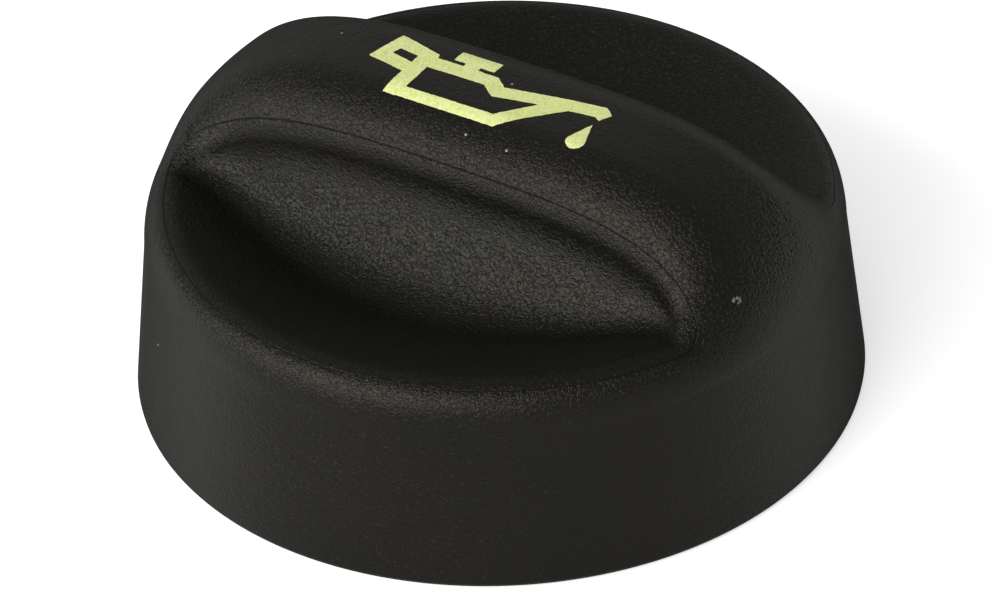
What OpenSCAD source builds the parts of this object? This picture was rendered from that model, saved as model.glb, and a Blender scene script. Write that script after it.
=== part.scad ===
// Bayonet oil filler cap with a domed finger grip, standing on its skirt, millimetres.
// +X runs along the grip bar, +Z is up, and the origin is the centre of the skirt's foot.

/* [Dome and skirt] */
// Diameter of the skirt's foot, the widest part
foot_d = 60; // [57:0.5:64]
// How far the skirt leans in on each side, from the foot to the shoulder
skirt_lean = 1.46; // [0.6:0.1:2.2]
// Height of the shoulder, where the skirt turns into the dome
shoulder_z = 13.8; // [13:0.1:15]
// Overall height, up to the middle of the bar
overall_h = 27.3; // [26.5:0.1:29]
// Flatness of the dome's top
dome_flatness = 4; // [3.4:0.1:4.6]
// Bluntness of the dome's shoulder
dome_bluntness = 1.87; // [1.7:0.01:2.1]
// Rounding at the outside of the foot
foot_round = 0.5; // [0.2:0.1:0.8]

/* [Finger scoops] */
// Width of the grip bar between the steepest lines of its two flanks
bar_w = 15.7; // [14.5:0.1:17]
// How much each flank moves out towards the bar's ends
bar_flare = 0.8; // [0:0.1:4]
// Radius of the bar's rounded upper edges
bar_edge_r = 5.4; // [4:0.1:6]
// Slope of the flanks at their steepest, in degrees
wall_slope = 84; // [78:1:86]
// Radius in which this steep wall turns into the lower part of the flank
wall_r = 8; // [6:0.1:10]
// Slope of the flank where its lower part begins, in degrees
flank_slope = 64; // [60:1:70]
// Radius of the hollow lower part of each flank
flank_r = 13.5; // [12:0.1:15]
// Height of the scoop's floor at its lowest place
floor_z = 14; // [13.6:0.1:15]
// Distance of that place from the centre of the cap
floor_r = 15.3; // [14.5:0.1:16.5]
// Slope of the floor as it rises to the rim, in degrees
floor_slope = 19.8; // [16:0.1:22]
// Depth of the blend that rounds the rim between the floor and the skirt
rim_blend = 4.4; // [2:0.1:5]
// Depth of the blend in the corner between flank and floor
corner_blend = 3; // [1:0.1:4]
// How far past the shoulder the scoops' end walls would start, along the bar, without the rounded ends
end_past = 0.96; // [0:0.01:2]
// Depth of the blend that rounds each scoop's ends, seen from above
end_round = 6; // [2:0.1:7]

/* [Inside of the shell] */
// Thickness of the skirt
skirt_t = 2.8; // [2.2:0.1:3.4]
// Thickness of the shell under the scoops
ceiling_t = 2.2; // [1.8:0.1:2.6]
// How far the flat seat for the plug's flange stays inside the flange's edge
seat_inset = 3.1; // [2.6:0.1:3.8]
// Thickness of the bar's sides at the hollow inside it
bar_side_t = 3.15; // [2.7:0.05:3.6]
// Thickness of the bar's top over that hollow
bar_top_t = 3.4; // [3:0.1:4]
// Distance from the end of the hollow inside the bar to the shoulder
hollow_end = 10.5; // [10:0.1:13]
// Thickness of the two ribs that divide the hollow
hollow_rib_t = 1.8; // [1.4:0.1:2.4]

/* [Bayonet plug] */
// Gap between the plug's flange and the inside of the skirt
flange_gap = 2.2; // [1.5:0.1:2.8]
// Thickness of the flange
flange_t = 2.4; // [1.8:0.1:2.8]
// Wall thickness of the hollow stem
stem_t = 2.2; // [1.8:0.1:2.8]
// Gap between the stem's end and the surface that the cap stands on
stem_gap = 0.8; // [0.5:0.1:2]
// How far the two bayonet lugs stand out from the stem
lug_reach = 2.9; // [2:0.1:3.3]
// Angle that each lug spans, in degrees
lug_angle = 58; // [40:1:70]
// Height of a lug at its thick end
lug_h = 3.6; // [3:0.1:4]
// Rise of the lug's ramp, in degrees
lug_ramp = 4; // [2:0.5:5]
// Gap between the stem's end and the lugs
lug_lift = 1; // [0.5:0.1:1.5]
// Height of the stop above a lug's thick end
stop_h = 1; // [0.6:0.1:1.4]
// Angle that each stop spans, in degrees
stop_angle = 7; // [5:1:12]
// How far the stop stays inside the lug's outer edge, and in degrees inside its end
stop_inset = 0.5; // [0.3:0.1:0.8]
// Thickness of the crossed webs inside the stem
web_t = 1.8; // [1.4:0.1:2.4]
// How far the webs stay back from the stem's end
web_recess = 2.4; // [1.5:0.1:4]
// Height of the drive block that fits into the bar's hollow
drive_h = 4.5; // [3:0.1:8]
// Clearance round the drive block
drive_gap = 0.15; // [0.1:0.05:0.4]

/* [Seal ring] */
// How far the seal ring's edge stays inside the flange's edge
seal_inset = 0.8; // [0.4:0.1:1.5]
// Width of the seal ring, from its inner to its outer edge
seal_w = 5.7; // [5:0.1:6.5]
// Thickness of the seal ring
seal_t = 2.2; // [1.8:0.1:2.6]
// Clearance between the seal ring and the stem
seal_gap = 0.1; // [0.05:0.05:0.3]

/* [Hidden] */
$fn = 96;
// Extra length of a cutter past the face that it cuts
past = 1;

foot_r = foot_d / 2;
shoulder_r = foot_r - skirt_lean;
flank_y = bar_w / 2;
edge_span = bar_edge_r * sin(wall_slope);
edge_drop = bar_edge_r * (1 - cos(wall_slope));
wall_span = wall_r * (sin(wall_slope) - sin(flank_slope));
wall_drop = wall_r * (cos(flank_slope) - cos(wall_slope));
end_x = shoulder_r + end_past;

ceiling_z = floor_z - ceiling_t;
flange_z = ceiling_z - flange_t;
seal_z = flange_z - seal_t;
cavity_foot_r = foot_r - skirt_t;
cavity_top_r = shoulder_r - skirt_t;
flange_r = cavity_top_r - flange_gap;
seat_r = flange_r - seat_inset;
seal_r = flange_r - seal_inset;
stem_r = seal_r - seal_w - seal_gap;
lug_r = stem_r + lug_reach;
hollow_l = 2 * (shoulder_r - hollow_end);
hollow_w = bar_w - 2 * bar_side_t;
hollow_top = overall_h - bar_top_t;
middle_l = hollow_l / 3;

// Number of rays round the net of the outer surface
rays = 120;
// How strongly the net's inner rings stretch along the bar
ring_stretch = 5;
// Width of the plain dome that the inner rings leave beyond the bar's ends
end_w = 3.3;
// Width of the band at the shoulder where the rings lie closer together
shoulder_band = 3;
// Rings in that band, on the floor, on the flank's land, on its rounded edge and on its steep wall
band_rings = 8;
floor_rings = 4;
land_rings = 3;
edge_rings = 6;
wall_rings = 3;
// Slopes at the first and last ring of the flank's lower part, and the step between rings, in degrees
first_slope = 57;
last_slope = 22;
slope_step = 7;
// How far along the bar the flanks narrow, and the least share of their width that is left
scoop_end_x = shoulder_r - shoulder_band;
least_share = 0.08;
// Halvings in the search for the place where a ray meets a ring
search_steps = 18;
// How fast the flare of the flanks sets in towards the rim
flare_power = 4;
// Share of the room between dome and floor that the corner's blend may take, and the depth that it keeps
corner_share = 0.8;
corner_least = 0.000001;
// Bevel in the upper corner of the space inside the skirt
inside_bevel = 1;

// Height of the plain dome at a distance from the centre
function dome_z(r) =
    let (fill = 1 - pow(min(r / shoulder_r, 1), dome_flatness))
    shoulder_z + (overall_h - shoulder_z) * pow(max(fill, 0), 1 / dome_bluntness);

// Sideways shift of the flanks at a distance along the bar
function flare(x) = bar_flare * pow(abs(x) / shoulder_r, flare_power);

// How deep a flank lies below the dome, q being the distance out from the bar's flat land
function flank_cut(q) =
    q <= 0 ? 0
    : q < edge_span ? bar_edge_r - sqrt(bar_edge_r * bar_edge_r - q * q)
    : q < edge_span + wall_span
    ? let (s = sin(wall_slope) - (q - edge_span) / wall_r)
      edge_drop + wall_r * (sqrt(1 - s * s) - cos(wall_slope))
    : let (s = max(sin(flank_slope) - (q - edge_span - wall_span) / flank_r, 0))
      edge_drop + wall_drop + flank_r * (sqrt(1 - s * s) - cos(flank_slope));

// The lower of two values, with the place where they cross rounded over depth k
function soft_min(a, b, k) =
    let (near = max(k - abs(a - b), 0))
    min(a, b) - near * near / (4 * k);

// Height of the outer surface: the dome, with a finger scoop on each side of the bar
function top_z(x, y) =
    let (r = norm([x, y]))
    let (dome = dome_z(r))
    let (beside = abs(y) - (flank_y - edge_span) - flare(x))
    let (flank = dome - flank_cut(soft_min(beside, end_x - abs(x), end_round)))
    let (floor = floor_z + tan(floor_slope) * (r - floor_r))
    let (rim = soft_min(floor, dome, rim_blend))
    let (corner = min(corner_blend, corner_share * (dome - rim)) + corner_least)
    -soft_min(-flank, -rim, corner);

// Rings of the net, by where they cross the middle of a scoop: first across the bar and its flank
bar_ring_y = concat(
    [for (i = [1 : land_rings]) (flank_y - edge_span) * i / (land_rings + 1)],
    [for (i = [0 : edge_rings]) flank_y - edge_span + bar_edge_r * sin(wall_slope * i / edge_rings)],
    [for (i = [1 : wall_rings])
        let (s = wall_slope - (wall_slope - flank_slope) * i / wall_rings)
        flank_y + wall_r * (sin(wall_slope) - sin(s))],
    [for (s = [first_slope : -slope_step : last_slope])
        flank_y + wall_span + flank_r * (sin(flank_slope) - sin(s))]
);
corner_y = bar_ring_y[len(bar_ring_y) - 1];
// Then across the floor and the rim, closer together towards the shoulder
rim_ring_y = concat(
    [for (i = [1 : floor_rings])
        corner_y + (shoulder_r - shoulder_band - corner_y) * i / (floor_rings + 1)],
    [for (i = [1 : band_rings]) shoulder_r - shoulder_band * pow(1 - (i - 1) / (band_rings - 1), 2)]
);
ring_y = concat(bar_ring_y, rim_ring_y);

// Where a ring lies across the bar, at a distance x along it: the flanks narrow towards their ends
function ring_line(y, x) =
    let (share = max(1 - pow(x / scoop_end_x, 2), least_share))
    min(y, flank_y) + flare(x) + max(y - flank_y, 0) * share;

// Distance from the centre, between two limits, at which the ray at an angle meets a ring
function meet(y, angle, low, high, steps) =
    let (r = (low + high) / 2)
    steps == 0 ? r
    : r * abs(sin(angle)) < ring_line(y, r * abs(cos(angle))) ? meet(y, angle, r, high, steps - 1)
    : meet(y, angle, low, r, steps - 1);

// Distance from the centre at which a ring crosses the ray at an angle
function ring_r(y, angle) =
    y > corner_y
    ? let (start = ring_r(corner_y, angle))
      start + (shoulder_r - start) * (y - corner_y) / (shoulder_r - corner_y)
    : let (reach = (shoulder_r - end_w) * (1 - pow(1 - y / corner_y, ring_stretch) / (1 + y / corner_y)))
      meet(y, angle, 0, reach, search_steps);

// Skirt below the shoulder: each pair is a radius and a height, going down
skirt_rings = [
    for (i = [1 : 3])
        let (down = i / 3)
        [shoulder_r + (foot_r - shoulder_r) * down, shoulder_z + (foot_round - shoulder_z) * down],
    for (a = [45, 90]) [foot_r - foot_round * (1 - cos(a)), foot_round * (1 - sin(a))]
];

shell_points = concat(
    [[0, 0, overall_h]],
    [for (y = ring_y, i = [0 : rays - 1])
        let (angle = 360 * i / rays)
        let (r = ring_r(y, angle))
        [r * cos(angle), r * sin(angle), top_z(r * cos(angle), r * sin(angle))]],
    [for (ring = skirt_rings, i = [0 : rays - 1])
        [ring[0] * cos(360 * i / rays), ring[0] * sin(360 * i / rays), ring[1]]]
);

ring_count = len(ring_y) + len(skirt_rings);
function on_ring(ring, i) = 1 + ring * rays + i % rays;

// Two triangles between neighbouring rings, cut along the diagonal that mirrors from quarter to quarter
function net_cell(k, i) =
    let (a = on_ring(k, i), b = on_ring(k, i + 1), c = on_ring(k + 1, i), d = on_ring(k + 1, i + 1))
    floor(4 * i / rays) % 2 == 0 ? [[a, b, d], [a, d, c]] : [[a, b, c], [b, d, c]];

shell_faces = concat(
    [for (i = [0 : rays - 1]) [0, on_ring(0, i + 1), on_ring(0, i)]],
    [for (k = [0 : ring_count - 2], i = [0 : rays - 1]) each net_cell(k, i)],
    [[for (i = [0 : rays - 1]) on_ring(ring_count - 1, i)]]
);

// Height of the shell's underside over the relief beside the flange's seat
function relief_z(r) = ceiling_z + tan(floor_slope) * (r - floor_r);

// Round space inside the skirt, with a relief that follows the slope of the scoops' floor
module skirt_cavity() {
    rotate_extrude()
        polygon([
            [0, -past],
            [cavity_foot_r + foot_round, -past],
            [cavity_foot_r + foot_round, 0],
            [cavity_foot_r, foot_round],
            [cavity_top_r, shoulder_z - inside_bevel],
            [cavity_top_r - inside_bevel, relief_z(cavity_top_r - inside_bevel)],
            [seat_r, relief_z(seat_r)],
            [seat_r, ceiling_z],
            [0, ceiling_z]
        ]);
}

// Hollow inside the bar, in three pockets with a rib between neighbours
module bar_hollow() {
    depth = hollow_top - ceiling_z + past;
    pocket = middle_l - hollow_rib_t;
    round_r = hollow_w / 2;
    translate([0, 0, ceiling_z - past]) {
        translate([-pocket / 2, -hollow_w / 2, 0])
            cube([pocket, hollow_w, depth]);
        for (side = [-1, 1]) {
            straight = hollow_l / 2 - round_r - (middle_l + hollow_rib_t) / 2;
            translate([side * (hollow_l / 2 - round_r - straight / 2), 0, depth / 2])
                cube([straight, hollow_w, depth], center = true);
            translate([side * (hollow_l / 2 - round_r), 0, 0])
                cylinder(r = round_r, h = depth);
        }
    }
}

module cap_shell() {
    color("#2c2b28")
        difference() {
            polyhedron(points = shell_points, faces = shell_faces, convexity = 6);
            skirt_cavity();
            bar_hollow();
        }
}

// One bayonet lug, its upper face a ramp that rises to a stop near the end
module lug() {
    root_r = stem_r - stem_t / 2;
    low = stem_gap + lug_lift;
    ramp_end = lug_angle / 2 - stop_angle;
    reach = 3 * lug_r;
    difference() {
        rotate([0, 0, -lug_angle / 2])
            rotate_extrude(angle = lug_angle)
                translate([root_r, low])
                    square([lug_r - root_r, lug_h]);
        translate([0, lug_r * sin(ramp_end), low + lug_h])
            rotate([lug_ramp, 0, 0])
                translate([0, -reach, 0])
                    cube([reach, 2 * reach, reach]);
    }
    rotate([0, 0, ramp_end - stop_inset])
        rotate_extrude(angle = stop_angle)
            translate([root_r, low + lug_h / 2])
                square([lug_r - stop_inset - root_r, lug_h / 2 + stop_h]);
}

module bayonet_plug() {
    inner_r = stem_r - stem_t;
    color("#33322f") {
        translate([0, 0, flange_z])
            cylinder(r = flange_r, h = flange_t);
        translate([0, 0, stem_gap])
            difference() {
                cylinder(r = stem_r, h = flange_z - stem_gap + flange_t / 2);
                translate([0, 0, -past])
                    cylinder(r = inner_r, h = flange_z - stem_gap + past);
            }
        for (turn = [0, 90])
            rotate([0, 0, turn])
                translate([-stem_r + stem_t / 2, -web_t / 2, stem_gap + web_recess])
                    cube([2 * stem_r - stem_t, web_t, flange_z + flange_t / 2 - stem_gap - web_recess]);
        for (turn = [45, 225])
            rotate([0, 0, turn])
                lug();
        drive_l = middle_l - hollow_rib_t - 2 * drive_gap;
        drive_w = hollow_w - 2 * drive_gap;
        translate([-drive_l / 2, -drive_w / 2, flange_z + flange_t / 2])
            cube([drive_l, drive_w, flange_t / 2 + drive_h]);
    }
}

module seal_ring() {
    lip_r = seal_t / 2;
    inner = seal_r - seal_w;
    color("#1c1c1c")
        translate([0, 0, seal_z])
            rotate_extrude() {
                translate([inner + lip_r, 0])
                    square([seal_w - 2 * lip_r, seal_t]);
                for (x = [inner + lip_r, seal_r - lip_r])
                    translate([x, lip_r])
                        circle(r = lip_r);
            }
}

cap_shell();
bayonet_plug();
seal_ring();
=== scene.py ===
"""Looks, light and camera for the oil filler cap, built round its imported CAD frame."""
import math

import bpy
import numpy as np
from mathutils import Matrix, Vector
from mathutils.geometry import delaunay_2d_cdt
from mathutils.kdtree import KDTree


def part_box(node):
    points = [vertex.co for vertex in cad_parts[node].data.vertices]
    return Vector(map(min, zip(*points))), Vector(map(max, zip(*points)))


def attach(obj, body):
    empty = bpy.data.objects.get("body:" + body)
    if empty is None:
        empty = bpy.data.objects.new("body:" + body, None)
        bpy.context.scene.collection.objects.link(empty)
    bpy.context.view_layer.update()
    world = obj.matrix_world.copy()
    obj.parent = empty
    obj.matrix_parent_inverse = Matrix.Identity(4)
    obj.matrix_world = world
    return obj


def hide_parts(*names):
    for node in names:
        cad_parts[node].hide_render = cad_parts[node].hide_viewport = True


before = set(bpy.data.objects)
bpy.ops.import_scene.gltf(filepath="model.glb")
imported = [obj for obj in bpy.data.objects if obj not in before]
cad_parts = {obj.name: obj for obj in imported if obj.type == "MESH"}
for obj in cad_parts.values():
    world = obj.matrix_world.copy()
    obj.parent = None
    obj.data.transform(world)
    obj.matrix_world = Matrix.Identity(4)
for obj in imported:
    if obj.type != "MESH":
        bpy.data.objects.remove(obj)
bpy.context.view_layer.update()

MM = 0.001
shell_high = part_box("cap_shell")[1]

# Outer form of the shell, in millimetres: dome and skirt
FOOT_R = shell_high.x / MM
OVERALL_H = shell_high.z / MM
SKIRT_LEAN = 1.46
SHOULDER_R = FOOT_R - SKIRT_LEAN
SHOULDER_Z = 13.8
DOME_FLATNESS = 4
DOME_BLUNTNESS = 1.87
FOOT_ROUND = 0.5

# Grip bar and finger scoops
BAR_W = 15.7
BAR_FLARE = 0.8
FLARE_POWER = 4
BAR_EDGE_R = 5.4
WALL_SLOPE = math.radians(84)
WALL_R = 8
FLANK_SLOPE = math.radians(64)
FLANK_R = 13.5
FLANK_Y = BAR_W / 2
EDGE_SPAN = BAR_EDGE_R * math.sin(WALL_SLOPE)
WALL_SPAN = WALL_R * (math.sin(WALL_SLOPE) - math.sin(FLANK_SLOPE))
FLOOR_Z = 14
FLOOR_R = 15.3
FLOOR_RISE = math.tan(math.radians(19.8))
RIM_BLEND = 4.4
END_PAST = 0.96
END_X = SHOULDER_R + END_PAST
END_ROUND = 6
CORNER_BLEND = 3
CORNER_SHARE = 0.8

# Inside of the shell
SKIRT_T = 2.8
CEILING_T = 2.2
CEILING_Z = FLOOR_Z - CEILING_T
CAVITY_FOOT_R = FOOT_R - SKIRT_T
CAVITY_TOP_R = SHOULDER_R - SKIRT_T
INSIDE_BEVEL = 1
SEAT_MARGIN = 5.3
SEAT_R = CAVITY_TOP_R - SEAT_MARGIN
HOLLOW_W = 9.4
BAR_ROOF_T = 3.4
HOLLOW_TOP = OVERALL_H - BAR_ROOF_T
HOLLOW_END_MARGIN = 10.5
HOLLOW_L = 2 * (SHOULDER_R - HOLLOW_END_MARGIN)
HOLLOW_RIB_T = 1.8

# Net of the outer surface: rings from the bar outwards, and rays round the cap
SHOULDER_BAND = 3
END_W = 3.3
RING_STRETCH = 5
LEAST_SHARE = 0.08
LAND_RINGS = 7
EDGE_RINGS = 16
FLOOR_RINGS = 14
BAND_RINGS = 20
SKIRT_RINGS = 12
FOOT_RINGS = 4
WALL_STEPS = np.radians(np.arange(82, 63, -2))
FLANK_STEPS = np.radians(np.arange(61.5, 21, -2.5))
RIM_STEP = math.radians(0.8)
SIDE_STEP = 0.4
LEAST_STEP = math.radians(0.35)
LOOSE_NET_R = 28
HALVINGS = 40
POCKET_POINTS = 33

# Witness line of the mould insert round each scoop: a fine groove
LINE_R = 27.1
LINE_X = 27.5
LINE_SLOPE = math.radians(63.5)
LINE_Y = FLANK_Y - EDGE_SPAN + BAR_EDGE_R * math.sin(LINE_SLOPE)
LINE_SHIFT = 0.48
LINE_END_ROUND = 9
LINE_CORNER = 1.3
LINE_CENTRE_Y = 17
LINE_RAYS = 3000
LINE_REACH = 40
LINE_STEP = 0.3
LINE_HALF_W = 0.09
LINE_DEPTH = 0.07
LINE_OFFSETS = np.array([-2, -1, -0.5, 0, 0.5, 1, 2]) * LINE_HALF_W
LINE_CLEAR = 0.32

# Printed pictogram of an oil can, lying along the bar
CAN_OUTLINE = [(-11.05, -0.65), (-10.1, 3.05), (-5.9, 1.9), (-5.8, 1.45), (-3.35, 1.45), (-3.35, 1.9),
               (-4.5, 1.9), (-4.45, 3.2), (-0.65, 3.2), (-0.7, 1.9), (-2.0, 1.9), (-2.0, 1.45),
               (0.0, 1.4), (1.15, 0.45), (6.6, 1.55), (9.8, 2.1), (10.6, 1.4), (10.05, 0.25),
               (9.55, 0.6), (7.3, 0.2), (2.95, -4.25), (-7.45, -4.25), (-7.35, -1.45)]
HANDLE_HOLE = [(-9.5, 0.45), (-9.25, 1.3), (-7.35, 1.0), (-7.35, -0.05)]
CAN_HOLE = [(-5.9, 0.0), (-0.55, 0.05), (0.85, -1.05), (4.85, -0.2), (2.3, -3.1), (-5.9, -3.15)]
DROP_TIP = (9.95, -0.5)
DROP_CENTRE = (9.88, -3.0)
DROP_R = 0.8
PRINT_CORNER = 0.1
CORNER_REACH = 0.45
CORNER_POINTS = 5
DROP_POINTS = 28
PRINT_STEP = 0.25
PRINT_RAGGED = 0.015
PRINT_T = 0.02

# Pale scuff on the bar's right end
SCUFF = (26.2, -5.9, 19.4)
SCUFF_R = 0.8

# Pale specks of dust: on the bar's top, in plan, and one on the skirt
DUST = [(-15.1, 1.45), (1.4, 1.2), (1.2, -5.5), (5.1, -5.65)]
SKIRT_DUST = (-17.94, -22.76, 9.8)
DUST_R = 0.13

# Grain of the shell, and the light on the cap and its table
GRAIN_DEPTH = 0.000036
SKIRT_GRAIN = 0.45
WORLD_STRENGTH = 0.5
TABLE_HALF = 3.0
TABLE_DROP = 1e-5
TABLE_LIFT = 0.45
MIRRORED_LIFT = 0.1

# Camera, fitted to the outline of the cap in a picture 1000 pixels wide
PICTURE_W = 1000
FOCAL_PX = 6103.2
SENSOR_W = 36
CAMERA_DISTANCE = 500
CAMERA_AZIMUTH = math.radians(33.5)
CAMERA_ELEVATION = math.radians(36.17)
CAMERA_ROLL = math.radians(-2.49)
AIM_RIGHT = 0.129
AIM_Z = 6.594

random = np.random.default_rng(7)


def dome_z(r):
    """Height of the plain dome at a distance from the centre."""
    fill = np.clip(1 - np.clip(r / SHOULDER_R, 0, 1) ** DOME_FLATNESS, 0, 1)
    return SHOULDER_Z + (OVERALL_H - SHOULDER_Z) * fill ** (1 / DOME_BLUNTNESS)


def flare(x):
    """Sideways shift of the flanks at a distance along the bar."""
    return BAR_FLARE * (np.abs(x) / SHOULDER_R) ** FLARE_POWER


def flank_cut(q):
    """How deep a flank lies below the dome, q being the distance out from the bar's flat land."""
    on_edge = np.clip(q, 0, EDGE_SPAN)
    on_wall = math.sin(WALL_SLOPE) - np.clip(q - EDGE_SPAN, 0, WALL_SPAN) / WALL_R
    on_flank = np.clip(math.sin(FLANK_SLOPE) - np.clip(q - EDGE_SPAN - WALL_SPAN, 0, None) / FLANK_R, 0, None)
    edge = BAR_EDGE_R - np.sqrt(BAR_EDGE_R ** 2 - on_edge ** 2)
    wall = WALL_R * (np.sqrt(1 - on_wall ** 2) - math.cos(WALL_SLOPE))
    return edge + wall + FLANK_R * (np.sqrt(1 - on_flank ** 2) - math.cos(FLANK_SLOPE))


def soft_min(a, b, k):
    """The lower of two values, with the place where they cross rounded over depth k."""
    near = np.clip(k - np.abs(a - b), 0, None)
    return np.minimum(a, b) - near * near / (4 * k)


def top_z(x, y):
    """Height of the outer surface: the dome, with a finger scoop on each side of the bar."""
    r = np.hypot(x, y)
    dome = dome_z(r)
    beside = np.abs(y) - (FLANK_Y - EDGE_SPAN) - flare(x)
    flank = dome - flank_cut(soft_min(beside, END_X - np.abs(x), END_ROUND))
    rim = soft_min(FLOOR_Z + FLOOR_RISE * (r - FLOOR_R), dome, RIM_BLEND)
    corner = np.minimum(CORNER_BLEND, CORNER_SHARE * (dome - rim)) + 1e-6
    return -soft_min(-flank, -rim, corner)


def top_points(x, y):
    return np.stack([x, y, top_z(x, y)], axis=-1)


def top_normals(x, y):
    """Unit normals of the outer surface, inside the shoulder."""
    step = 1e-3
    slope_x = (top_z(x + step, y) - top_z(x - step, y)) / (2 * step)
    slope_y = (top_z(x, y + step) - top_z(x, y - step)) / (2 * step)
    return unit(np.stack([-slope_x, -slope_y, np.ones_like(slope_x)], axis=-1))


def unit(vectors):
    return vectors / np.linalg.norm(vectors, axis=-1, keepdims=True)


class Net:
    """Points and faces of one mesh, with a normal for each corner of each face."""

    def __init__(self):
        self.points, self.faces, self.normals = [], [], []

    def add(self, points):
        """Adds points and returns the indices that they got."""
        first = len(self.points)
        self.points.extend(np.asarray(points, float).reshape(-1, 3).tolist())
        return np.arange(first, len(self.points))

    def face(self, corners, normals):
        self.faces.append([int(c) for c in corners])
        self.normals.extend([list(map(float, n)) for n in normals])

    def strip(self, upper, lower, upper_normals, lower_normals):
        """Closed band of quads between two rings with as many points each."""
        for i in range(len(upper)):
            j = (i + 1) % len(upper)
            self.face((upper[i], lower[i], lower[j], upper[j]),
                      (upper_normals[i], lower_normals[i], lower_normals[j], upper_normals[j]))

    def build(self, name):
        """The mesh object, in metres."""
        mesh = bpy.data.meshes.new(name)
        mesh.from_pydata([[c * MM for c in p] for p in self.points], [], self.faces)
        mesh.shade_smooth()
        mesh.normals_split_custom_set(self.normals)
        piece = bpy.data.objects.new(name, mesh)
        bpy.context.scene.collection.objects.link(piece)
        return piece


def triangulate(points, edges):
    """Delaunay triangles over plan points that keep the given edges, with the source of each point."""
    result = delaunay_2d_cdt([Vector(p) for p in points], edges, [], 0, 1e-6)
    where = np.array([tuple(v) for v in result[0]])
    source = [found[0] if found else -1 for found in result[3]]
    triangles = np.array(result[2])
    a, b, c = (where[triangles[:, k]] for k in range(3))
    turn = (b - a)[:, 0] * (c - a)[:, 1] - (b - a)[:, 1] * (c - a)[:, 0]
    triangles[turn < 0] = triangles[turn < 0][:, ::-1]
    return where, source, triangles


def closed_edges(outlines, first=0):
    """Edges round each outline, the points being numbered from the first, one outline after another."""
    edges = []
    for outline in outlines:
        here = np.arange(len(outline)) + first
        edges += np.stack([here, np.roll(here, -1)], axis=-1).tolist()
        first += len(outline)
    return edges


def ray_angles():
    """Angles of the rays round the cap, closer together towards the bar's ends."""
    fine = np.linspace(0, math.pi / 2, 4001)
    step = np.clip(SIDE_STEP * np.sin(fine) ** 2 / FLANK_Y, LEAST_STEP, RIM_STEP)
    passed = np.concatenate([[0], np.cumsum((1 / step[1:] + 1 / step[:-1]) / 2 * fine[1])])
    quarter = np.interp(np.linspace(0, passed[-1], round(passed[-1]) + 1), passed, fine)
    half = np.concatenate([quarter, math.pi - quarter[-2:0:-1]])
    return np.concatenate([half, half + math.pi])


def ring_line(y, x):
    """Where a ring lies across the bar, at a distance x along it: the flanks narrow towards their ends."""
    share = np.maximum(1 - (x / (SHOULDER_R - SHOULDER_BAND)) ** 2, LEAST_SHARE)
    return min(y, FLANK_Y) + flare(x) + max(y - FLANK_Y, 0) * share


def farthest(test, rays, reach):
    """How far out a test holds on each of a number of rays, within the given reach, found by halving."""
    low, high = np.zeros(rays), np.full(rays, float(reach))
    for _ in range(HALVINGS):
        middle = (low + high) / 2
        within = test(middle)
        low, high = np.where(within, middle, low), np.where(within, high, middle)
    return low


def net_radii(angles):
    """Distance from the centre of each ring on each ray: rings along the bar, then out to the shoulder."""
    edge = FLANK_Y - EDGE_SPAN
    bar = [edge * i / (LAND_RINGS + 1) for i in range(1, LAND_RINGS + 1)]
    bar += [edge + BAR_EDGE_R * math.sin(WALL_SLOPE * i / EDGE_RINGS) for i in range(EDGE_RINGS + 1)]
    bar += [FLANK_Y + WALL_R * (math.sin(WALL_SLOPE) - math.sin(s)) for s in WALL_STEPS]
    bar += [FLANK_Y + WALL_SPAN + FLANK_R * (math.sin(FLANK_SLOPE) - math.sin(s)) for s in FLANK_STEPS]
    corner_y = bar[-1]
    radii = []
    for y in bar:
        reach = (SHOULDER_R - END_W) * (1 - (1 - y / corner_y) ** RING_STRETCH / (1 + y / corner_y))

        def within(r):
            return r * np.abs(np.sin(angles)) < ring_line(y, r * np.cos(angles))

        radii.append(farthest(within, len(angles), reach))
    band_y = SHOULDER_R - SHOULDER_BAND
    outer = [corner_y + (band_y - corner_y) * i / (FLOOR_RINGS + 1) for i in range(1, FLOOR_RINGS + 1)]
    outer += [SHOULDER_R - SHOULDER_BAND * (1 - i / (BAND_RINGS - 1)) ** 2 for i in range(BAND_RINGS)]
    last = radii[-1]
    for y in outer:
        radii.append(last + (SHOULDER_R - last) * (y - corner_y) / (SHOULDER_R - corner_y))
    return np.array(radii)


def along(points, step):
    """Points of a closed line in plan, spaced evenly along the surface."""
    ends = np.vstack([points, points[:1]])
    lengths = np.linalg.norm(np.diff(top_points(ends[:, 0], ends[:, 1]), axis=0), axis=1)
    passed = np.concatenate([[0], np.cumsum(lengths)])
    stations = np.linspace(0, passed[-1], round(passed[-1] / step) + 1)[:-1]
    return np.stack([np.interp(stations, passed, ends[:, k]) for k in (0, 1)], axis=-1)


def witness_line(side):
    """The groove's middle round the scoop on one side of the bar, in plan."""
    turn = np.linspace(0, 2 * math.pi, LINE_RAYS, endpoint=False)

    def place(reach):
        return reach * np.cos(turn), side * LINE_CENTRE_Y + reach * np.sin(turn)

    def within(reach):
        x, y = place(reach)
        beside = soft_min(side * y - LINE_Y - flare(x), LINE_X - np.abs(x), LINE_END_ROUND)
        return soft_min(LINE_R - np.hypot(x - LINE_SHIFT, y), beside, LINE_CORNER) > 0

    return np.stack(place(farthest(within, LINE_RAYS, LINE_REACH)), axis=-1)


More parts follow.
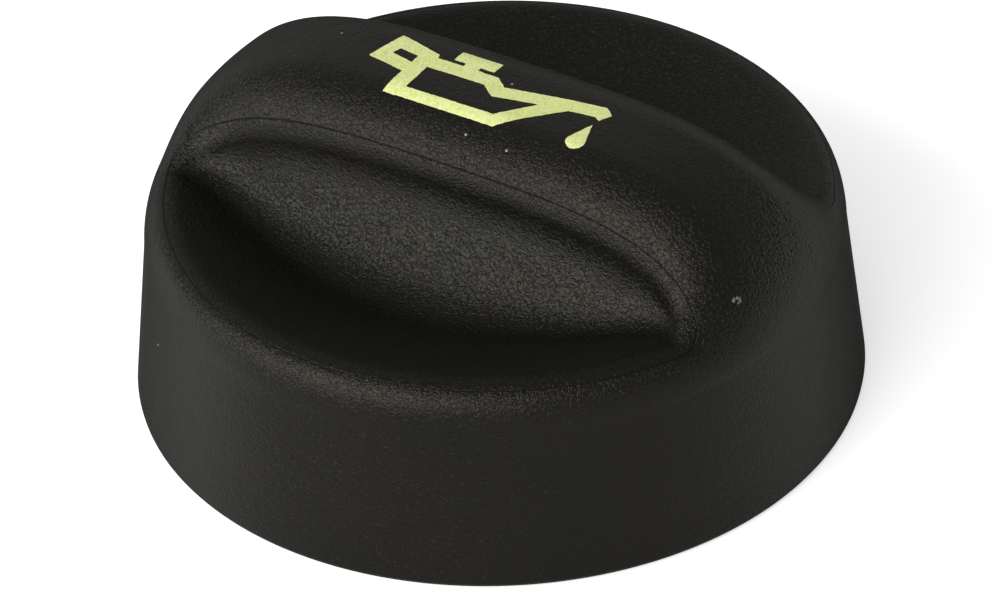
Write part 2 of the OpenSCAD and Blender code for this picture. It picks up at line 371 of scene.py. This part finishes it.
def groove(line):
    """Plan points, points in space and normals along a witness line's groove, one row for each offset."""
    points = top_points(line[:, 0], line[:, 1])
    ahead = unit(np.roll(points, -1, axis=0) - np.roll(points, 1, axis=0))
    aside = unit(np.cross(ahead, top_normals(line[:, 0], line[:, 1])))
    steepest = LINE_DEPTH * math.pi / (2 * LINE_HALF_W)
    rows = []
    for offset in LINE_OFFSETS:
        plan = line + aside[:, :2] * offset
        normal = top_normals(plan[:, 0], plan[:, 1])
        share = min(abs(offset) / LINE_HALF_W, 1)
        depth = LINE_DEPTH * math.cos(share * math.pi / 2) ** 2
        steepness = -steepest * math.sin(share * math.pi) * np.sign(offset)
        surface = top_points(plan[:, 0], plan[:, 1])
        rows.append((plan, surface - normal * depth, unit(normal + aside * steepness)))
    return rows


def grooved_top(net, plans, loose):
    """Adds the top out to a loose ring of the plan, with the grooves cut in, and returns that ring."""
    lines = [along(witness_line(side), LINE_STEP) for side in (-1, 1)]
    finer_lines = [along(line, LINE_STEP / 3) for line in lines]
    tree_points = np.vstack([top_points(p[:, 0], p[:, 1]) for p in finer_lines])
    tree = KDTree(len(tree_points))
    for i, p in enumerate(tree_points):
        tree.insert(p, i)
    tree.balance()

    def clear(plan):
        """Whether each plan point keeps clear of the grooves."""
        spots = top_points(plan[:, 0], plan[:, 1])
        return np.array([tree.find(p)[2] > LINE_CLEAR for p in spots])

    rays = plans.shape[1]
    flat = plans[:loose + 1].reshape(-1, 2)
    kept = clear(flat)
    order = np.cumsum(kept)
    plan_points = [np.zeros((1, 2)), flat[kept]]
    spaces = [top_points(*np.zeros((2, 1))), top_points(flat[kept][:, 0], flat[kept][:, 1])]
    normals = [np.array([[0, 0, 1.0]]), top_normals(flat[kept][:, 0], flat[kept][:, 1])]
    start = np.arange(len(flat))
    end = start - start % rays + (start + 1) % rays
    whole = kept[start] & kept[end]
    for share in (0.25, 0.5, 0.75):
        whole &= clear(flat[start] * (1 - share) + flat[end] * share)
    edges = np.stack([order[start[whole]], order[end[whole]]], axis=-1).tolist()
    rows = [row for line in lines for row in groove(line)]
    edges += closed_edges([plan for plan, _, _ in rows], 1 + int(kept.sum()))
    plan_points += [plan for plan, _, _ in rows]
    spaces += [space for _, space, _ in rows]
    normals += [normal for _, _, normal in rows]
    where, source, triangles = triangulate(np.vstack(plan_points), edges)
    spaces, normals = np.vstack(spaces), np.vstack(normals)
    source = np.array(source)
    place, normal = top_points(where[:, 0], where[:, 1]), top_normals(where[:, 0], where[:, 1])
    known = source >= 0
    place[known], normal[known] = spaces[source[known]], normals[source[known]]
    indices = net.add(place)
    for t in triangles:
        net.face(indices[t], normal[t])
    found = {s: i for i, s in enumerate(source) if s >= 0}
    return np.array([indices[found[order[loose * rays + i]]] for i in range(rays)])


def ring_points(r, z, angles):
    """Points, or directions, in a level ring round the cap's axis."""
    return np.stack([r * np.cos(angles), r * np.sin(angles), np.full(len(angles), z)], axis=-1)


def outer_surface(net, angles):
    """Adds the outer surface down to the foot, and returns its last ring."""
    radii = net_radii(angles)
    plans = radii[..., None] * np.stack([np.cos(angles), np.sin(angles)], axis=-1)
    loose = int(np.argmax(radii.min(axis=1) > LOOSE_NET_R))
    ring = grooved_top(net, plans, loose)
    rows = [top_points(plans[k][:, 0], plans[k][:, 1]) for k in range(loose, len(plans))]
    outline = [(SHOULDER_R + (FOOT_R - SHOULDER_R) * t, SHOULDER_Z + (FOOT_ROUND - SHOULDER_Z) * t)
               for t in np.arange(1, SKIRT_RINGS + 1) / SKIRT_RINGS]
    outline += [(FOOT_R - FOOT_ROUND * (1 - math.cos(a)), FOOT_ROUND * (1 - math.sin(a)))
                for a in np.arange(1, FOOT_RINGS + 1) * math.pi / 2 / FOOT_RINGS]
    rows += [ring_points(r, z, angles) for r, z in outline]
    rows = np.array(rows)
    down = np.empty_like(rows)
    down[1:-1] = rows[2:] - rows[:-2]
    down[0], down[-1] = rows[1] - rows[0], rows[-1] - rows[-2]
    row_normals = unit(np.cross(down, np.roll(rows, -1, axis=1) - np.roll(rows, 1, axis=1)))
    row_normals[0] = top_normals(rows[0][:, 0], rows[0][:, 1])
    row_normals[-1] = (0, 0, -1)
    for k in range(1, len(rows)):
        lower = net.add(rows[k])
        net.strip(ring, lower, row_normals[k - 1], row_normals[k])
        ring = lower
    return ring


def relief_z(r):
    """Height of the shell's underside beside the flange's seat."""
    return CEILING_Z + FLOOR_RISE * (r - FLOOR_R)


def inner_surface(net, angles, ring):
    """Adds the foot's flat, the skirt's inside and the underside, and returns the ring round the seat."""
    outline = [(FOOT_R - FOOT_ROUND, 0), (CAVITY_FOOT_R + FOOT_ROUND, 0), (CAVITY_FOOT_R, FOOT_ROUND),
               (CAVITY_TOP_R, SHOULDER_Z - INSIDE_BEVEL),
               (CAVITY_TOP_R - INSIDE_BEVEL, relief_z(CAVITY_TOP_R - INSIDE_BEVEL)),
               (SEAT_R, relief_z(SEAT_R)), (SEAT_R, CEILING_Z)]
    for (r0, z0), (r1, z1) in zip(outline, outline[1:]):
        aside, up = unit(np.array([z0 - z1, r1 - r0]))
        lower = net.add(ring_points(r1, z1, angles))
        normals = ring_points(aside, up, angles)
        net.strip(ring, lower, normals, normals)
        ring = lower
    return ring


def pocket_outlines():
    """Outlines of the three pockets of the hollow inside the bar, anticlockwise in plan."""
    middle = (HOLLOW_L / 3 - HOLLOW_RIB_T) / 2
    near_end = (HOLLOW_L / 3 + HOLLOW_RIB_T) / 2
    round_r = HOLLOW_W / 2
    arc = np.linspace(-math.pi / 2, math.pi / 2, POCKET_POINTS)
    right = [(near_end, -round_r)]
    right += [(HOLLOW_L / 2 - round_r + round_r * math.cos(a), round_r * math.sin(a)) for a in arc]
    right += [(near_end, round_r)]
    square = [(-middle, -round_r), (middle, -round_r), (middle, round_r), (-middle, round_r)]
    return [np.array(square), np.array(right), -np.array(right)]


def ceiling(net, ring):
    """Adds the flat seat with the bar's pockets cut up into it."""
    outlines = pocket_outlines()
    circle = np.array([net.points[i][:2] for i in ring])
    borders = [circle, *outlines]
    where, source, triangles = triangulate(np.vstack(borders), closed_edges(borders))
    corners = [net.add(np.column_stack([o, np.full(len(o), CEILING_Z)])) for o in outlines]
    known = np.concatenate([ring, *corners])
    middles = where[triangles].mean(axis=1)
    solid = ~inside(middles, outlines)
    for t in triangles[solid]:
        net.face([known[source[i]] for i in t[::-1]], [(0, 0, -1)] * 3)
    for outline, low in zip(outlines, corners):
        high = net.add(np.column_stack([outline, np.full(len(outline), HOLLOW_TOP)]))
        for i in range(len(outline)):
            j = (i + 1) % len(outline)
            along_wall = outline[j] - outline[i]
            normal = unit(np.array([-along_wall[1], along_wall[0], 0]))
            net.face((low[i], high[i], high[j], low[j]), [normal] * 4)
        net.face(high[::-1], [(0, 0, -1)] * len(high))


def inside(points, outlines):
    """Whether each plan point lies inside an odd number of the outlines."""
    odd = np.zeros(len(points), bool)
    for outline in outlines:
        for a, b in zip(outline, np.roll(outline, -1, axis=0)):
            spans = (a[1] > points[:, 1]) != (b[1] > points[:, 1])
            rise = b[1] - a[1] if b[1] != a[1] else 1
            odd ^= spans & (points[:, 0] < a[0] + (points[:, 1] - a[1]) * (b[0] - a[0]) / rise)
    return odd


def cap_shell():
    """The moulded shell: dome, grip bar, finger scoops, skirt and everything inside them."""
    net, angles = Net(), ray_angles()
    foot = outer_surface(net, angles)
    ceiling(net, inner_surface(net, angles, foot))
    return net.build("cap_shell_moulding")


def rounded(corners, radius):
    """An outline with an arc at each corner, as plan points."""
    points = []
    corners = np.array(corners, float)
    steps = np.linspace(0, 1, CORNER_POINTS)
    for before, corner, after in zip(np.roll(corners, 1, axis=0), corners, np.roll(corners, -1, axis=0)):
        back, on = unit(before - corner), unit(after - corner)
        half = math.acos(np.clip(back @ on, -1, 1)) / 2
        shorter = min(np.linalg.norm(before - corner), np.linalg.norm(after - corner))
        cut = min(radius / math.tan(half), CORNER_REACH * shorter)
        points += [corner + back * cut * (1 - t) ** 2 + on * cut * t ** 2 for t in steps]
    return np.array(points)


def ragged(outline):
    """An outline cut into short steps, each moved a little, as ink on a grained surface."""
    points = []
    for a, b in zip(outline, np.roll(outline, -1, axis=0)):
        steps = max(1, round(np.linalg.norm(b - a) / PRINT_STEP))
        points += [a + (b - a) * t for t in np.arange(steps) / steps]
    points = np.array(points)
    return points + random.normal(0, PRINT_RAGGED, points.shape)


def drop_outline():
    """A drop: most of a circle, drawn out to a tip."""
    centre, tip = np.array(DROP_CENTRE), np.array(DROP_TIP)
    away = tip - centre
    lean = math.atan2(away[1], away[0])
    half = math.acos(DROP_R / np.linalg.norm(away))
    arc = lean + half + np.linspace(0, 2 * math.pi - 2 * half, DROP_POINTS)
    return np.vstack([tip, centre + DROP_R * np.stack([np.cos(arc), np.sin(arc)], axis=-1)])


def pictogram():
    """The printed oil can and its drop: a thin film that follows the bar's top."""
    outlines = [rounded(o, PRINT_CORNER) for o in (CAN_OUTLINE, HANDLE_HOLE, CAN_HOLE)]
    outlines = [ragged(o) for o in [*outlines, drop_outline()]]
    rim = np.vstack(outlines)
    low, high = rim.min(axis=0), rim.max(axis=0)
    grid = np.meshgrid(*(np.arange(low[k], high[k], PRINT_STEP) for k in (0, 1)))
    grid = np.stack(grid, axis=-1).reshape(-1, 2)
    far = np.array([np.min(np.hypot(*(rim - p).T)) > PRINT_STEP / 2 for p in grid])
    grid = grid[far & inside(grid, outlines)]
    where, _, triangles = triangulate(np.vstack([rim, grid]), closed_edges(outlines))
    triangles = triangles[inside(where[triangles].mean(axis=1), outlines)]
    net = Net()
    normals = top_normals(where[:, 0], where[:, 1])
    surface = top_points(where[:, 0], where[:, 1])
    upper, lower = net.add(surface + normals * PRINT_T), net.add(surface - normals * PRINT_T)
    for t in triangles:
        net.face(upper[t], normals[t])
        net.face(lower[t[::-1]], -normals[t[::-1]])
    sides = {(a, b) for t in triangles for a, b in zip(t, np.roll(t, -1))}
    for a, b in sorted(sides):
        if (b, a) not in sides:
            out = unit(np.cross(surface[b] - surface[a], normals[a]))
            net.face((upper[b], upper[a], lower[a], lower[b]), [out] * 4)
    return net.build("oil_can_print")


class Finish:
    """A material's nodes, with the short calls that the finishes below need."""

    def __init__(self, name):
        self.material = bpy.data.materials.new(name)
        self.material.use_nodes = True
        self.tree = self.material.node_tree
        self.shader = self.tree.nodes["Principled BSDF"]
        places = self.tree.nodes.new("ShaderNodeTexCoord")
        self.place, self.outward = places.outputs["Object"], places.outputs["Normal"]

    def node(self, kind, **settings):
        made = self.tree.nodes.new(kind)
        for key, value in settings.items():
            setattr(made, key, value)
        return made

    def link(self, source, target):
        self.tree.links.new(source, target)

    def feed(self, socket, source):
        """Links a source to one of the shader's sockets."""
        self.link(source, self.shader.inputs[socket])

    def set(self, **values):
        """Sets the shader's sockets, a name's underscores standing for spaces."""
        for key, value in values.items():
            self.shader.inputs[key.replace("_", " ")].default_value = value

    def noise(self, scale, detail=2.0, roughness=0.5, distortion=0.0):
        made = self.node("ShaderNodeTexNoise")
        self.link(self.place, made.inputs["Vector"])
        values = {"Scale": scale, "Detail": detail, "Roughness": roughness, "Distortion": distortion}
        for key, value in values.items():
            made.inputs[key].default_value = value
        return made.outputs["Fac"]

    def maths(self, operation, a, b):
        made = self.node("ShaderNodeMath", operation=operation)
        for socket, value in zip(made.inputs, (a, b)):
            if isinstance(value, (int, float)):
                socket.default_value = value
            else:
                self.link(value, socket)
        return made.outputs[0]

    def spread(self, value, low, high, to_low, to_high):
        """A value mapped from one range to another, and held inside it."""
        made = self.node("ShaderNodeMapRange")
        self.link(value, made.inputs["Value"])
        for key, number in (("From Min", low), ("From Max", high), ("To Min", to_low), ("To Max", to_high)):
            made.inputs[key].default_value = number
        return made.outputs["Result"]

    def mix(self, factor, a, b):
        """Colours a and b mixed by a factor."""
        made = self.node("ShaderNodeMix", data_type="RGBA")
        self.link(factor, made.inputs["Factor"])
        for socket, value in ((made.inputs["A"], a), (made.inputs["B"], b)):
            if isinstance(value, tuple):
                socket.default_value = (*value, 1)
            else:
                self.link(value, socket)
        return made.outputs["Result"]

    def bump(self, height, distance, strength=1.0):
        """Lets a height in units of the distance, in metres, tilt the shader's normal."""
        made = self.node("ShaderNodeBump")
        made.inputs["Distance"].default_value = distance
        made.inputs["Strength"].default_value = strength
        self.link(height, made.inputs["Height"])
        self.feed("Normal", made.outputs["Normal"])


def grain(finish):
    """Height of the moulded leather grain: thin winding ridges about a third of a millimetre apart."""
    winding = finish.maths("SUBTRACT", finish.noise(3300, detail=1, roughness=0.5, distortion=0.8), 0.5)
    ridges = finish.spread(finish.maths("ABSOLUTE", winding, 0), 0, 0.2, 1, 0)
    swell = finish.noise(1500, detail=1)
    return finish.maths("ADD", ridges, finish.maths("MULTIPLY", swell, 0.5))


def distance_to(finish, centre):
    """Distance to a point given in millimetres."""
    away = finish.node("ShaderNodeVectorMath", operation="DISTANCE")
    finish.link(finish.place, away.inputs[0])
    away.inputs[1].default_value = [c * MM for c in centre]
    return away.outputs["Value"]


def scuff_mask(finish):
    """Ragged specks close together where something scraped the bar's end."""
    near = finish.spread(distance_to(finish, SCUFF), SCUFF_R * MM * 0.4, SCUFF_R * MM, 1, 0)
    return finish.spread(finish.maths("MULTIPLY", near, finish.noise(3400, detail=2)), 0.44, 0.52, 0, 1)


def dust_mask(finish):
    """Single specks of dust, each no more than a grain across."""
    nearest = distance_to(finish, SKIRT_DUST)
    for x, y in DUST:
        nearest = finish.maths("MINIMUM", distance_to(finish, (x, y, float(top_z(x, y)))), nearest)
    return finish.spread(nearest, DUST_R * MM * 0.6, DUST_R * MM, 1, 0)


def shell_plastic():
    """Black plastic with a fine moulded grain, duller at a glancing view, with a scuff and a little dust."""
    finish = Finish("shell_plastic")
    finish.set(Specular_IOR_Level=0.15, Specular_Tint=(1, 0.97, 0.82, 1))
    tone = finish.spread(finish.noise(90, detail=4), 0.3, 0.7, 0, 1)
    base = finish.mix(tone, (0.0030, 0.0029, 0.0025), (0.0042, 0.0039, 0.0033))
    base = finish.mix(scuff_mask(finish), base, (0.15, 0.145, 0.105))
    base = finish.mix(dust_mask(finish), base, (0.22, 0.22, 0.20))
    finish.feed("Base Color", base)
    polish = finish.spread(finish.noise(700, detail=5, roughness=0.7), 0.3, 0.7, 0.15, 0.21)
    glancing = finish.node("ShaderNodeLayerWeight").outputs["Facing"]
    dulled = finish.spread(glancing, 0.36, 0.85, 0, 0.7)
    finish.feed("Roughness", finish.maths("ADD", polish, dulled))
    upright = finish.node("ShaderNodeSeparateXYZ")
    finish.link(finish.outward, upright.inputs[0])
    fainter = finish.spread(upright.outputs["Z"], 0.15, 0.5, SKIRT_GRAIN, 1)
    finish.bump(finish.maths("MULTIPLY", grain(finish), fainter), GRAIN_DEPTH)
    return finish.material


def print_ink():
    """Yellow-green ink, thin enough for the grain to show through."""
    finish = Finish("print_ink")
    finish.set(Specular_IOR_Level=0.3)
    worn = finish.spread(grain(finish), 0.4, 1.2, 0, 1)
    patches = finish.spread(finish.noise(260, detail=3), 0.3, 0.7, 0, 1)
    pale = finish.mix(patches, (0.62, 0.68, 0.26), (0.66, 0.70, 0.34))
    finish.feed("Base Color", finish.mix(worn, (0.50, 0.55, 0.19), pale))
    finish.set(Roughness=0.55)
    finish.bump(grain(finish), 0.00002, 0.5)
    return finish.material


def plug_plastic():
    """Smooth dark grey plastic with faint flow marks."""
    finish = Finish("plug_plastic")
    finish.set(Specular_IOR_Level=0.45)
    tone = finish.spread(finish.noise(60, detail=4, distortion=1.5), 0.3, 0.7, 0, 1)
    finish.feed("Base Color", finish.mix(tone, (0.022, 0.021, 0.020), (0.030, 0.029, 0.027)))
    finish.feed("Roughness", finish.spread(finish.noise(400, detail=4), 0.3, 0.7, 0.36, 0.48))
    finish.bump(finish.noise(1500, detail=3), 0.00002, 0.4)
    return finish.material


def seal_rubber():
    """Matt black rubber with a faint bloom."""
    finish = Finish("seal_rubber")
    finish.set(Specular_IOR_Level=0.35)
    bloom = finish.spread(finish.noise(180, detail=5, roughness=0.65), 0.4, 0.75, 0, 1)
    finish.feed("Base Color", finish.mix(bloom, (0.010, 0.010, 0.010), (0.022, 0.021, 0.020)))
    finish.feed("Roughness", finish.spread(bloom, 0, 1, 0.55, 0.72))
    finish.bump(finish.noise(2200, detail=2), 0.00002, 0.5)
    return finish.material


def dress(piece, material):
    """Gives a piece its only material, in each slot it has or in a new one."""
    if piece.data.materials:
        for i in range(len(piece.data.materials)):
            piece.data.materials[i] = material
    else:
        piece.data.materials.append(material)


def white_lift(finish):
    """Light that the table adds for rays that see it directly, so that it shows as plain white."""
    path = finish.node("ShaderNodeLightPath")
    mirrored = finish.maths("MAXIMUM", path.outputs["Is Glossy Ray"], path.outputs["Is Transmission Ray"])
    own = finish.maths("MULTIPLY", path.outputs["Is Camera Ray"], TABLE_LIFT)
    return finish.maths("MAXIMUM", own, finish.maths("MULTIPLY", mirrored, MIRRORED_LIFT))


def surroundings():
    """White surroundings, which light the cap softly."""
    world = bpy.data.worlds.new("white_room")
    bpy.context.scene.world = world
    world.use_nodes = True
    background = world.node_tree.nodes["Background"]
    background.inputs["Color"].default_value = (1, 1, 1, 1)
    background.inputs["Strength"].default_value = WORLD_STRENGTH


def table():
    """Pale table under the cap, which keeps its shadow."""
    mesh = bpy.data.meshes.new("table")
    corners = [(-1, -1), (1, -1), (1, 1), (-1, 1)]
    mesh.from_pydata([(x * TABLE_HALF, y * TABLE_HALF, -TABLE_DROP) for x, y in corners], [], [(0, 1, 2, 3)])
    floor = bpy.data.objects.new("table", mesh)
    bpy.context.scene.collection.objects.link(floor)
    finish = Finish("table_white")
    finish.set(Base_Color=(0.82, 0.82, 0.82, 1), Roughness=0.8, Specular_IOR_Level=0.1)
    finish.set(Emission_Color=(1, 1, 1, 1))
    finish.feed("Emission Strength", white_lift(finish))
    mesh.materials.append(finish.material)


def lamp(name, azimuth, elevation, distance, width, height, spread, power):
    """A soft box that looks at the cap; azimuth is measured from the front, to the right."""
    light = bpy.data.lights.new(name, "AREA")
    light.shape = "RECTANGLE"
    light.size, light.size_y = width, height
    light.spread = math.radians(spread)
    light.energy = power
    holder = bpy.data.objects.new(name, light)
    bpy.context.scene.collection.objects.link(holder)
    a, e = math.radians(azimuth), math.radians(elevation)
    away = Vector((math.sin(a) * math.cos(e), -math.cos(a) * math.cos(e), math.sin(e)))
    holder.location = away * distance
    holder.rotation_euler = away.to_track_quat("Z", "Y").to_euler()


def camera():
    """The camera that saw the cap as the fitted outline does."""
    sin_a, cos_a = math.sin(CAMERA_AZIMUTH), math.cos(CAMERA_AZIMUTH)
    sin_e, cos_e = math.sin(CAMERA_ELEVATION), math.cos(CAMERA_ELEVATION)
    back = Vector((sin_a * cos_e, -cos_a * cos_e, sin_e))
    right = Vector((cos_a, sin_a, 0))
    up = back.cross(right)
    aim = right * AIM_RIGHT + Vector((0, 0, AIM_Z))
    turned = right * math.cos(CAMERA_ROLL) + up * math.sin(CAMERA_ROLL)
    turned_up = up * math.cos(CAMERA_ROLL) - right * math.sin(CAMERA_ROLL)
    data = bpy.data.cameras.new("camera")
    data.sensor_width = SENSOR_W
    data.lens = FOCAL_PX / PICTURE_W * SENSOR_W
    data.clip_start, data.clip_end = 0.01, 20
    holder = bpy.data.objects.new("camera", data)
    bpy.context.scene.collection.objects.link(holder)
    place = (aim + back * CAMERA_DISTANCE) * MM
    holder.matrix_world = Matrix.Translation(place) @ Matrix((turned, turned_up, back)).transposed().to_4x4()
    bpy.context.scene.camera = holder


shell = cap_shell()
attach(shell, "root")
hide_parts("cap_shell")
dress(shell, shell_plastic())

symbol = pictogram()
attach(symbol, "root")
dress(symbol, print_ink())

dress(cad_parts["bayonet_plug"], plug_plastic())
dress(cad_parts["seal_ring"], seal_rubber())

surroundings()
table()
lamp("key", azimuth=-13, elevation=25, distance=0.9, width=2.3, height=0.72, spread=120, power=13)
camera()
bpy.context.scene.view_settings.view_transform = "Standard"
